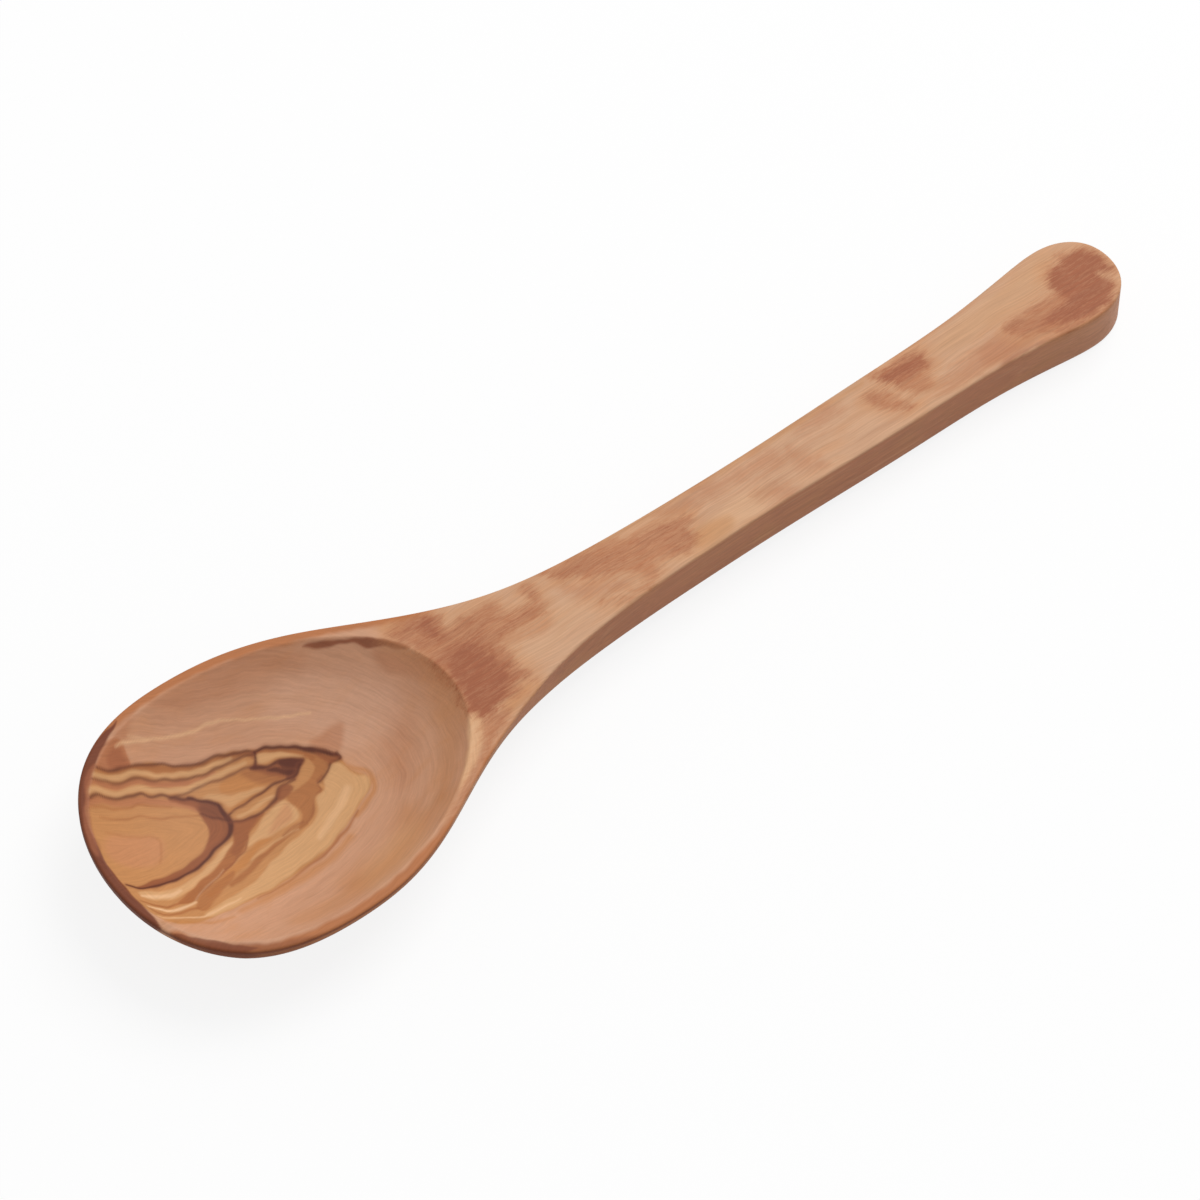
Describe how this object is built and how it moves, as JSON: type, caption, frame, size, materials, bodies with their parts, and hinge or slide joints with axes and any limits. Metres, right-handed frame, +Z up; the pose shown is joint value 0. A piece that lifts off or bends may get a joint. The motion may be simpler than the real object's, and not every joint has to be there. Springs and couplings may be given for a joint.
{
  "type": "wooden spoon",
  "caption": "Wooden cooking spoon carved from one piece of olive wood, with a broad egg-shaped bowl, a slim straight handle and a flared, rounded end.",
  "frame": {"origin": "bottom centre of the bounding box, on the surface the spoon lies on", "axes": "+X along the spoon from the bowl's tip to the handle's end, +Y across it, +Z up, out of the open bowl"},
  "size_m": [0.3049, 0.0812, 0.0207],
  "materials": {
    "olive_wood": "fine-sanded and lightly oiled olive wood, satin, with dark veins in the bowl"
  },
  "bodies": {
    "root": {"spoon": "olive_wood"}
  },
  "joints": []
}
